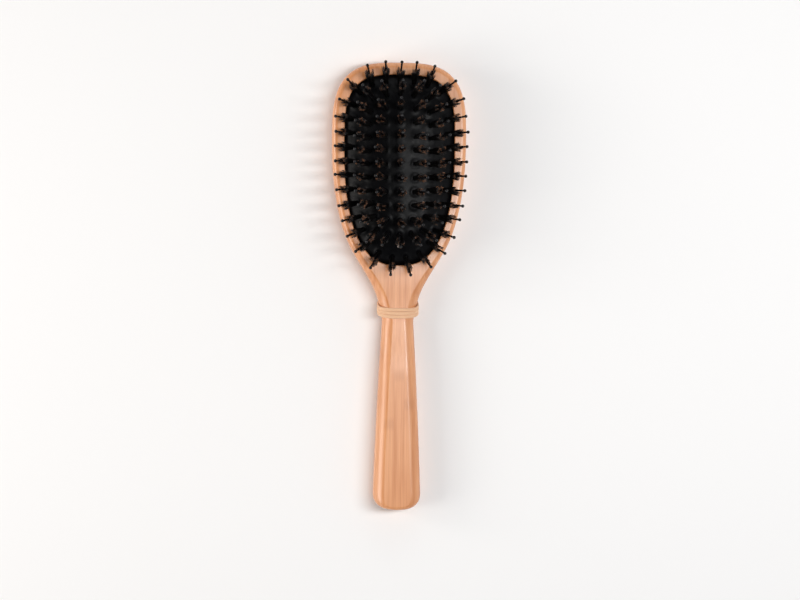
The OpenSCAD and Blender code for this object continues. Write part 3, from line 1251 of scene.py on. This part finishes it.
@dataclass
class Bristles:
    """Boar bristle tufts: tapered bristles that gather in uneven locks and fan out round each pin.

    Fan and stray are sideways lean per unit of height. Thickness is a bristle's radius at its root, and
    bend is how far its tip curves over, in those radii.
    """

    tufts: TuftField
    locks: int = 12
    count: int = 14
    root_radius: float = 1.38
    lock_radius: float = 0.42
    fan: float = 0.09
    stray: float = 0.028
    thickness: float = 0.14
    shortest: float = 10.0
    longest: float = 12.7
    bend: float = 2.8
    segments: int = 4

    def shape(self, material: bpy.types.Material) -> bpy.types.Object:
        """One bristle of unit length and unit root radius, bent towards +X.

        Args:
            material: the bristle's finish.

        Returns:
            A tapered three-sided bristle that stores how far along it each point is.
        """
        points, faces, along = [], [], []
        for k in range(self.segments + 1):
            t = k / self.segments
            radius = 1.0 - 0.5 * t * t
            points += [(self.bend * t * t + radius * math.cos(a), radius * math.sin(a), t)
                       for a in (0.0, 2 * math.pi / 3, 4 * math.pi / 3)]
            along += [t] * 3
        for k in range(self.segments):
            faces += [(3 * k + i, 3 * k + (i + 1) % 3, 3 * k + 3 + (i + 1) % 3, 3 * k + 3 + i)
                      for i in range(3)]
        faces += [(2, 1, 0), (3 * self.segments, 3 * self.segments + 1, 3 * self.segments + 2)]
        made = mesh_piece("bristle_shape", np.array(points), faces, material)
        made.data.transform(Matrix.Scale(1 / MM, 4))
        made.data.attributes.new("along", "FLOAT", "POINT").data.foreach_set("value", along)
        return made

    def chance(self, tree: bpy.types.NodeTree, given: bpy.types.Node, series: int, low: float = 0.0,
               high: float = 1.0) -> bpy.types.NodeSocket:
        """A random number for each point.

        Args:
            tree: the planting's tree.
            given: its Group Input node.
            series: which of the row's series of numbers it is drawn from.
            low: the least that it can be.
            high: the most that it can be.

        Returns:
            The number's socket.
        """
        seed = add_node(tree, "FunctionNodeIntegerMath", {0: given.outputs["Seed"], 1: 17, 2: series},
                        operation="MULTIPLY_ADD")
        return add_node(tree, "FunctionNodeRandomValue", {2: low, 3: high, "Seed": seed}).outputs[1]

    def spot(self, tree: bpy.types.NodeTree, given: bpy.types.Node, series: int) -> bpy.types.Node:
        """A random place on a disc of unit radius, away from its very middle.

        Args:
            tree: the planting's tree.
            given: its Group Input node.
            series: the first of the two series of numbers it is drawn from.

        Returns:
            A node whose first output is the place.
        """
        turn = self.chance(tree, given, series, 0.0, 2 * math.pi)
        east = add_node(tree, "ShaderNodeMath", {0: turn}, operation="COSINE")
        north = add_node(tree, "ShaderNodeMath", {0: turn}, operation="SINE")
        way = add_node(tree, "ShaderNodeCombineXYZ", {0: east, 1: north})
        reach = add_node(tree, "ShaderNodeMath", {0: self.chance(tree, given, series + 1, 0.12)},
                         operation="SQRT")
        return add_node(tree, "ShaderNodeVectorMath", {0: way, "Scale": reach}, operation="SCALE")

    def split(self, tree: bpy.types.NodeTree, given: bpy.types.Node) -> bpy.types.Node:
        """Splits each tuft into locks, each with its own place, length and tone, and those into bristles.

        Args:
            tree: the planting's tree.
            given: its Group Input node.

        Returns:
            A node whose first output is a point for every bristle.
        """
        points = add_node(tree, "GeometryNodeMeshToPoints", {0: given.outputs["Roots"]})
        points = add_node(tree, "GeometryNodeDuplicateElements",
                          {"Geometry": points, "Amount": self.locks}, domain="POINT")
        for name, kind, value in (("lock_spot", "FLOAT_VECTOR", self.spot(tree, given, 1)),
                                  ("lock_length", "FLOAT", self.chance(tree, given, 3)),
                                  ("lock_tone", "FLOAT", self.chance(tree, given, 4))):
            points = add_node(tree, "GeometryNodeStoreNamedAttribute",
                              {"Geometry": points, "Name": name, "Value": value},
                              data_type=kind, domain="POINT")
        return add_node(tree, "GeometryNodeDuplicateElements",
                        {"Geometry": points, "Amount": self.count}, domain="POINT")

    def stance(self, tree: bpy.types.NodeTree, given: bpy.types.Node,
               bristles: bpy.types.Node) -> tuple[bpy.types.Node, bpy.types.Node]:
        """Stands each bristle near its lock's place and leans it out with the lock.

        Args:
            tree: the planting's tree.
            given: its Group Input node.
            bristles: the node whose first output is the bristles' points.

        Returns:
            The node that places the points, and the one that gives their rotations.
        """
        lean = add_node(tree, "GeometryNodeInputNamedAttribute", {"Name": "lean"}, data_type="FLOAT_VECTOR")
        upright = add_node(tree, "FunctionNodeAlignRotationToVector", {"Vector": lean}, axis="Z")
        lock = add_node(tree, "GeometryNodeInputNamedAttribute", {"Name": "lock_spot"},
                        data_type="FLOAT_VECTOR")
        share = self.lock_radius / self.root_radius
        middle = add_node(tree, "ShaderNodeVectorMath", {0: lock, "Scale": 1 - share}, operation="SCALE")
        within = add_node(tree, "ShaderNodeVectorMath", {0: self.spot(tree, given, 5), "Scale": share},
                          operation="SCALE")
        place = add_node(tree, "ShaderNodeVectorMath", {0: middle, 1: within}, operation="ADD")
        foot = add_node(tree, "ShaderNodeVectorMath", {0: place, "Scale": given.outputs["Root radius"]},
                        operation="SCALE")
        foot = add_node(tree, "FunctionNodeRotateVector", {0: foot, 1: upright})
        placed = add_node(tree, "GeometryNodeSetPosition", {"Geometry": bristles, "Offset": foot})

        fan = add_node(tree, "ShaderNodeVectorMath", {0: lock, "Scale": given.outputs["Fan"]},
                       operation="SCALE")
        stray = add_node(tree, "ShaderNodeCombineXYZ",
                         {0: self.chance(tree, given, 7, -self.stray, self.stray),
                          1: self.chance(tree, given, 8, -self.stray, self.stray), 2: 1.0})
        course = add_node(tree, "ShaderNodeVectorMath", {0: fan, 1: stray}, operation="ADD")
        course = add_node(tree, "FunctionNodeRotateVector", {0: course, 1: upright})
        outward = add_node(tree, "FunctionNodeRotateVector", {0: place, 1: upright})
        stand = add_node(tree, "FunctionNodeAlignRotationToVector", {"Vector": course}, axis="Z")
        stand = add_node(tree, "FunctionNodeAlignRotationToVector", {"Rotation": stand, "Vector": outward},
                         axis="X", pivot_axis="Z")
        return placed, stand

    def tree(self, plantation: Plantation, material: bpy.types.Material) -> bpy.types.NodeTree:
        """The tree that sets locks of bristles over each root and fans them out.

        Args:
            plantation: the planting that the tree belongs to.
            material: the bristles' finish.

        Returns:
            The finished tree.
        """
        tree, given = plantation.start()
        placed, stand = self.stance(tree, given, self.split(tree, given))
        width = add_node(tree, "ShaderNodeMath",
                         {0: self.chance(tree, given, 9, 0.8, 1.15), 1: given.outputs["Thickness"]},
                         operation="MULTIPLY")
        lock_length = add_node(tree, "GeometryNodeInputNamedAttribute", {"Name": "lock_length"},
                               data_type="FLOAT")
        reach = add_node(tree, "ShaderNodeMath",
                         {0: self.chance(tree, given, 10, -0.2, 0.2), 1: lock_length}, operation="ADD")
        length = add_node(tree, "ShaderNodeMapRange", {"Value": reach, "To Min": given.outputs["Shortest"],
                                                       "To Max": given.outputs["Longest"]})
        size = add_node(tree, "ShaderNodeCombineXYZ", {0: width, 1: width, 2: length})
        lock_tone = add_node(tree, "GeometryNodeInputNamedAttribute", {"Name": "lock_tone"},
                             data_type="FLOAT")
        tone = add_node(tree, "ShaderNodeMath",
                        {0: self.chance(tree, given, 11, -0.5, 0.5), 1: lock_tone},
                        operation="ADD", use_clamp=True)
        toned = add_node(tree, "GeometryNodeStoreNamedAttribute",
                         {"Geometry": placed, "Name": "tone", "Value": tone},
                         data_type="FLOAT", domain="POINT")
        shape = add_node(tree, "GeometryNodeObjectInfo", {0: given.outputs["Shape"]})
        stood = add_node(tree, "GeometryNodeInstanceOnPoints",
                         {"Points": toned, "Instance": shape.outputs["Geometry"], "Rotation": stand,
                          "Scale": size})
        plantation.end(tree, stood, material)
        return tree

    def build(self, finish: Finish) -> None:
        """Plants every row of bristles.

        Args:
            finish: the boar bristle.
        """
        material = finish.material()
        shape = self.shape(material)
        sizes = {"Root radius": self.root_radius * MM, "Fan": self.fan, "Thickness": self.thickness * MM,
                 "Shortest": self.shortest * MM, "Longest": self.longest * MM}
        plantation = Plantation("bristle_planting", sizes)
        tree = self.tree(plantation, material)
        for seed, row in enumerate(self.tufts.rows):
            name = row.bristle_node.replace("bristle", "bristles")
            piece = plantation.plant(tree, name, row.tufts, shape, seed)
            install(piece, Body.PIN_FIELD, Slot.BRISTLE, row.bristle_node)
        remove_tool(shape)


# ---------------------------------------------------------------- the cushion


@dataclass
class Cushion:
    """The domed rubber membrane: moulded collars round its tufts, and a bead in the board's groove.

    Each pair of the bead is how far out and how far down from the rubber's edge it turns. The press
    heights, above that edge, are not used.
    """

    form: BrushForm
    tufts: TuftField
    across: int = 121
    steps: tuple[int, int] = (120, 80)
    collar_height: float = 0.35
    collar_radius: float = 1.7
    collar_width: float = 0.9
    bead: tuple[tuple[float, float], ...] = ((0.14, 0.05), (1.15, 0.1), (1.3, 0.25), (1.3, 1.35),
                                             (1.15, 1.5), (0.2, 1.5))
    vent_below: float = 5.8
    vent_radius: float = 1.4
    vent_sides: int = 24
    sharp_angle: float = 50.0
    press_from: float = 0.0
    press_to: float = 2.4

    def height(self, x: np.ndarray, s: np.ndarray, half: np.ndarray) -> np.ndarray:
        """Height of the outer face with its collars.

        Args:
            x: distances from the axis.
            s: stations.
            half: the cushion's half-width at those stations.

        Returns:
            Heights in millimetres.
        """
        z = self.form.dome_z(x, s, half)
        for root in self.tufts.roots():
            off = np.hypot(x - root[0], s - self.form.centre - root[1])
            z = z + self.collar_height * np.exp(-((off - self.collar_radius) / self.collar_width) ** 2)
        return z

    def edge(self, rail: Rail) -> list[tuple[int, tuple[float, float]]]:
        """The points round the outer face's edge, anticlockwise from the lower right.

        Args:
            rail: the cushion's outline.

        Returns:
            Each point's number and its outward direction.
        """
        rows, n = len(rail.points), self.across
        right = [(i * n + n - 1, (rail.normals[i, 0], rail.normals[i, 1])) for i in range(rows)]
        top = [((rows - 1) * n + j, (0.0, 1.0)) for j in range(n - 2, 0, -1)]
        left = [(i * n, (-rail.normals[i, 0], rail.normals[i, 1])) for i in range(rows - 1, -1, -1)]
        bottom = [(j, (0.0, -1.0)) for j in range(1, n - 1)]
        return right + top + left + bottom

    def surface(self) -> tuple[np.ndarray, list[tuple[int, ...]]]:
        """The closed membrane: outer face, bead and inner face.

        Returns:
            Its points and its faces.
        """
        form = self.form
        rail = form.cushion_rail(*self.steps)
        rows, n = len(rail.points), self.across
        # Columns close up towards both sides, where the dome is steepest
        spread = np.linspace(-1, 1, n)
        spread = 0.35 * np.sin(math.pi / 2 * spread) + 0.65 * spread
        half, s = rail.points[:, :1], np.repeat(rail.points[:, 1:], n, axis=1)
        x = half * spread
        wide = np.repeat(half, n, axis=1)
        outer = np.stack([x, s, self.height(x, s, wide)], axis=2).reshape(-1, 3)
        inner = np.stack([x, s, form.dome_z(x, s, wide) - form.rubber], axis=2).reshape(-1, 3)

        loop = self.edge(rail)
        rings = [[outer[k] + (out * normal[0], out * normal[1], -drop) for k, normal in loop]
                 for out, drop in self.bead]
        points = np.vstack([outer, inner, *rings])

        tiles = [(i * n + j, i * n + j + 1, (i + 1) * n + j + 1, (i + 1) * n + j)
                 for i in range(rows - 1) for j in range(n - 1)]
        m = rows * n
        faces = tiles + [tuple(k + m for k in reversed(tile)) for tile in tiles]
        edges = [[k for k, _ in loop]]
        edges += [list(range(2 * m + r * len(loop), 2 * m + (r + 1) * len(loop))) for r in range(len(rings))]
        edges.append([k + m for k, _ in loop])
        for low, high in zip(edges, edges[1:]):
            faces += [(low[i], high[i], high[(i + 1) % len(loop)], low[(i + 1) % len(loop)])
                      for i in range(len(loop))]
        return points - (0, form.centre, 0), faces

    def vent_cutter(self) -> bpy.types.Object:
        """A plug for the vent hole, below the middle tuft of the last row.

        Returns:
            The plug, which runs right through the rubber.
        """
        n = self.vent_sides
        last = min(tuft.root.y for row in self.tufts.rows[1:] for tuft in row.tufts
                   if abs(tuft.root.x) < 1)
        spot = last - self.vent_below
        points = [(self.vent_radius * math.cos(a), spot + self.vent_radius * math.sin(a), z)
                  for z in (self.form.edge_z - 3, self.form.edge_z + self.form.crown)
                  for a in (2 * math.pi * i / n for i in range(n))]
        faces = [tuple(range(n)), tuple(range(n, 2 * n))]
        faces += [(i, (i + 1) % n, n + (i + 1) % n, n + i) for i in range(n)]
        return mesh_piece("vent_cutter", points, faces)

    def build(self, finish: Finish) -> bpy.types.Object:
        """Makes the membrane and pierces its vent.

        Args:
            finish: the rubber.

        Returns:
            The finished cushion.
        """
        points, faces = self.surface()
        cushion = mesh_piece("cushion", points, faces, finish.material())
        carve(cushion, self.vent_cutter())
        cushion.data.set_sharp_from_angle(angle=math.radians(self.sharp_angle))
        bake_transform(cushion)
        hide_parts("cushion_membrane")
        LOG.info("cushion: %d faces", len(cushion.data.polygons))
        return cushion


# ---------------------------------------------------------------- the neck loop


@dataclass
class NeckLoop:
    """A flat elastic of three joined strands that hangs round the neck."""

    form: BrushForm
    station: float = 108.2
    width: float = 5.4
    thickness: float = 0.9
    slack: float = 2.0
    hang: float = 0.46
    sway: float = 0.12
    strands: int = 3
    steps: int = 144
    section_steps: int = 12
    map_length: float = 55.0
    map_girth: float = 5.0
    map_gap: float = 7.0

    def strand(self, index: int) -> list[tuple[float, float, float]]:
        """One strand's points, section by section round the neck.

        Args:
            index: the strand's number, from the handle's side.

        Returns:
            x, y, z rows in millimetres.
        """
        form = self.form
        low, high = form.back_z(self.station), form.front_z(self.station)
        pitch = self.width / self.strands
        middle = self.station - form.centre + (index - (self.strands - 1) / 2) * pitch
        points = []
        for i in range(self.steps):
            a = 2 * math.pi * i / self.steps
            across, up = squared(math.cos(a), 0.7), squared(math.sin(a), 0.7)
            sway = self.sway * math.sin(3 * a + 1.3 * index)
            for j in range(self.section_steps):
                b = 2 * math.pi * j / self.section_steps
                out = self.thickness / 2 * (1 + squared(math.cos(b), 0.8))
                rise = ((high - low) / 2 + out) * up
                along = 0.52 * pitch * squared(math.sin(b), 0.8)
                points.append(((form.neck_width / 2 + self.slack + out) * across,
                               middle + sway - self.hang * rise + along, (low + high) / 2 + rise))
        return points

    def map_braid(self, loop: bpy.types.Object) -> None:
        """Gives the loop its braid map: millimetres along a strand and round its section.

        Args:
            loop: the loop, its points in the order of strand.
        """
        n, m = self.section_steps, self.steps
        braid = loop.data.uv_layers.new(name="braid")
        for polygon in loop.data.polygons:
            spots = [(k // n % m / m * self.map_length,
                      k % n / n * self.map_girth + self.map_gap * (k // (n * m)))
                     for k in polygon.vertices]
            widest = max(u for u, _ in spots)
            tallest = max(v for _, v in spots)
            for item, (u, v) in zip(polygon.loop_indices, spots):
                u += self.map_length if widest - u > self.map_length / 2 else 0.0
                v += self.map_girth if tallest - v > self.map_girth / 2 else 0.0
                braid.data[item].uv = (u, v)

    def build(self, finish: Finish) -> bpy.types.Object:
        """Makes the loop with its braid map and puts it on the neck.

        Args:
            finish: the elastic.

        Returns:
            The finished loop.
        """
        n, m = self.section_steps, self.steps
        points, faces = [], []
        for index in range(self.strands):
            base = len(points)
            points += self.strand(index)
            faces += [tuple(base + (a % m) * n + b % n
                            for a, b in ((i, j), (i + 1, j), (i + 1, j + 1), (i, j + 1)))
                      for i in range(m) for j in range(n)]
        loop = mesh_piece("neck_loop", points, faces, finish.material())
        self.map_braid(loop)
        install(loop, Body.HANDLE, Slot.ELASTIC, "neck_band")
        return loop


# ---------------------------------------------------------------- the studio


@dataclass(frozen=True)
class Softbox:
    """A rectangular studio lamp: its place and size in metres, and its power in watts."""

    name: str
    place: tuple[float, float, float]
    size: tuple[float, float]
    power: float
    tint: str = "#FFFFFF"
    target: tuple[float, float, float] = (0.0, 0.02, 0.01)

    def hang(self) -> None:
        """Hangs the lamp, facing the brush."""
        lamp = bpy.data.lights.new(self.name, "AREA")
        lamp.shape, lamp.size, lamp.size_y = "RECTANGLE", *self.size
        lamp.energy, lamp.color = self.power, colour(self.tint)[:3]
        made = bpy.data.objects.new(self.name, lamp)
        made.location = self.place
        way = Vector(self.target) - Vector(self.place)
        made.rotation_euler = way.to_track_quat("-Z", "Y").to_euler()
        bpy.context.scene.collection.objects.link(made)


@dataclass
class Studio:
    """Floor, lights and camera, in metres."""

    distance: float = 1.5
    offset: float = -3.5
    roll: float = 0.4
    lens: float = 126.0
    aim: tuple[float, float, float] = (0.0008, -0.0074, 0.013)
    walls: float = 0.85
    ceiling: float = 0.04
    air: str = "#F4F6FA"
    paper_half: float = 3.0
    paper_gap: float = 0.00005
    softboxes: tuple[Softbox, ...] = (
        Softbox("key_softbox", (-0.88, -0.22, 0.48), (0.36, 0.46), 3.5, "#FFFAF4"),
        Softbox("neck_softbox", (-0.9, 0.16, 0.3), (0.2, 0.3), 2.0, "#FFFAF4"),
        Softbox("head_softbox", (0.1, 0.9, 0.5), (0.6, 0.25), 0.6),
        Softbox("strip_softbox", (0.42, 0.05, 0.95), (0.18, 0.8), 7.0))

    def floor(self) -> None:
        """A wide sheet of pale paper, a hair's breadth under the brush."""
        side, low = self.paper_half / MM, -self.paper_gap / MM
        corners = [(-side, -side, low), (side, -side, low), (side, side, low), (-side, side, low)]
        mesh_piece("floor", corners, [(0, 1, 2, 3)], StudioPaper().material())

    def camera(self) -> None:
        """A long lens above the brush, a little to its left, with the head at the top."""
        aim = Vector(self.aim)
        swing = math.radians(self.offset)
        back = Vector((math.sin(swing), 0, math.cos(swing)))
        up = Vector((0, 1, 0))
        right = up.cross(back).normalized()
        roll = Matrix.Rotation(math.radians(self.roll), 4, "Z")
        turn = Matrix((right, up, back)).transposed().to_4x4() @ roll
        data = bpy.data.cameras.new("camera")
        data.lens, data.sensor_width = self.lens, 36.0
        made = bpy.data.objects.new("camera", data)
        made.matrix_world = Matrix.Translation(aim + back * self.distance) @ turn
        bpy.context.scene.collection.objects.link(made)
        bpy.context.scene.camera = made

    def surroundings(self) -> None:
        """A studio with pale walls and a dark ceiling, so that black parts stay black from above."""
        world = bpy.data.worlds.new("studio_air")
        world.use_nodes = True
        tree = world.node_tree
        sky = add_node(tree, "ShaderNodeTexCoord").outputs["Generated"]
        way = add_node(tree, "ShaderNodeSeparateXYZ", {0: sky})
        ceiling = add_node(tree, "ShaderNodeMapRange",
                           {"Value": way.outputs["Z"], "From Min": 0.25, "From Max": 0.8,
                            "To Min": self.walls, "To Max": self.ceiling},
                           interpolation_type="SMOOTHSTEP")
        air = tree.nodes["Background"]
        air.inputs["Color"].default_value = colour(self.air)
        tree.links.new(ceiling.outputs["Result"], air.inputs["Strength"])
        bpy.context.scene.world = world

    def build(self) -> None:
        """Sets the whole studio up."""
        self.camera()
        self.floor()
        for softbox in self.softboxes:
            softbox.hang()
        self.surroundings()
        bpy.context.scene.view_settings.view_transform = "Standard"


def main() -> None:
    """Builds the brush and its studio, piece by piece."""
    logging.basicConfig(level=logging.INFO, format="%(name)s: %(message)s")
    low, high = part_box("paddle_board")
    form = BrushForm(length=(high.y - low.y) / MM, thickness=(high.z - low.z) / MM)
    Studio().build()
    PaddleBoard(form).build(LacqueredBamboo())
    tufts = TuftField().read()
    Cushion(form, tufts).build(MouldedRubber())
    Pins(tufts).build(MouldedNylon())
    Bristles(tufts).build(BoarBristle())
    NeckLoop(form).build(BraidedElastic())


if __name__ == "__main__":
    main()
